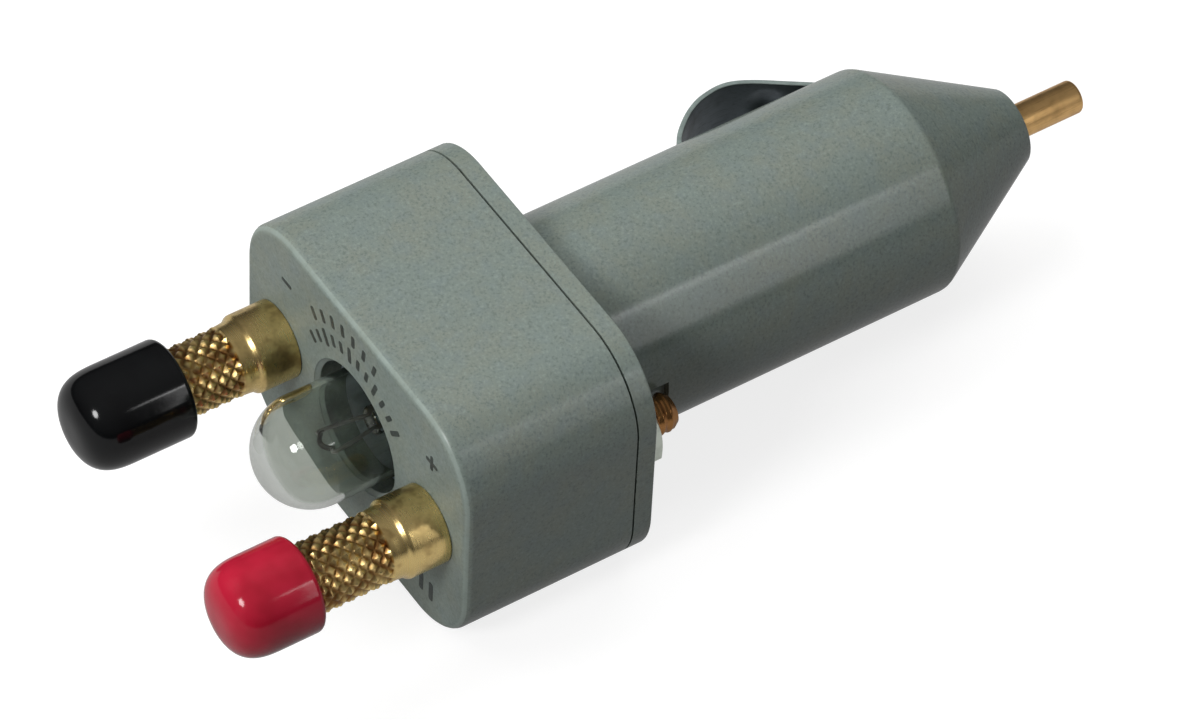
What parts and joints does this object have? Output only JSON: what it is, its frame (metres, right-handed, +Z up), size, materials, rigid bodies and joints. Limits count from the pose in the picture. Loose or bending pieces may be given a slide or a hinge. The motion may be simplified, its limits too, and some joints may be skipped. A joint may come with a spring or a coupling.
{
  "type": "automotive circuit tester",
  "caption": "Plug-in vehicle outlet tester: grey head with a clear lamp between capped knurled brass posts, and a round plug with a sprung centre pin and a bowed side contact.",
  "frame": {"origin": "on the plug's axis at the back face of the cover plate, which seats on the outlet's rim", "axes": "+Y along the plug towards its pin, +X from the black post to the red post, +Z up from the flat underside"},
  "size_m": [0.035, 0.0948, 0.0256],
  "materials": {
    "grey_plastic": "satin moulded grey plastic",
    "copper_alloy": "turned copper alloy, slightly dulled",
    "spring_steel": "drawn wire and pressed steel",
    "strip_brass": "pressed and drawn brass",
    "fibre": "dark moulded insulating plastic",
    "nickel_plate": "bright nickel plate",
    "clear_glass": "clear blown glass",
    "black_glass": "black insulating glass",
    "turned_brass": "bright turned and knurled brass",
    "black_vinyl": "glossy dip-moulded black vinyl",
    "red_vinyl": "glossy dip-moulded red vinyl"
  },
  "bodies": {
    "tester": {"head_shell": "grey_plastic", "plug_body": "grey_plastic", "pin_spring": "spring_steel", "spring_button": "strip_brass", "button_cap": "fibre", "ground_strip": "strip_brass", "lamp_bracket": "strip_brass", "lamp_socket": "strip_brass", "bulb_glass": "clear_glass", "bulb_stem": "clear_glass", "bulb_leads": "spring_steel", "bulb_filament": "spring_steel", "bulb_base": "strip_brass", "bulb_insulator": "black_glass", "bulb_tip": "nickel_plate", "black_post": "turned_brass", "red_post": "turned_brass", "inner_nuts": "strip_brass", "rear_nuts": "nickel_plate", "lock_washers": "spring_steel"},
    "centre_pin": {"centre_pin": "copper_alloy"},
    "side_contact": {"side_contact": "nickel_plate"},
    "black_cap": {"black_cap": "black_vinyl"},
    "red_cap": {"red_cap": "red_vinyl"}
  },
  "joints": [
    {"name": "centre_pin_travel", "type": "slide", "parent": "tester", "child": "centre_pin", "axis": [0, -1, 0], "range_m": [0, 0.005], "stiffness_N_per_m": 300, "springref_m": -0.008, "deforming": ["pin_spring"]},
    {"name": "side_contact_press", "type": "slide", "parent": "tester", "child": "side_contact", "axis": [1, 0, 0], "range_m": [0, 0.0042], "stiffness_N_per_m": 800, "springref_m": -0.001, "deforming": ["side_contact"]},
    {"name": "black_cap_pull", "type": "slide", "parent": "tester", "child": "black_cap", "axis": [0, -1, 0], "range_m": [0, 0.012]},
    {"name": "red_cap_pull", "type": "slide", "parent": "tester", "child": "red_cap", "axis": [0, -1, 0], "range_m": [0, 0.012]}
  ]
}
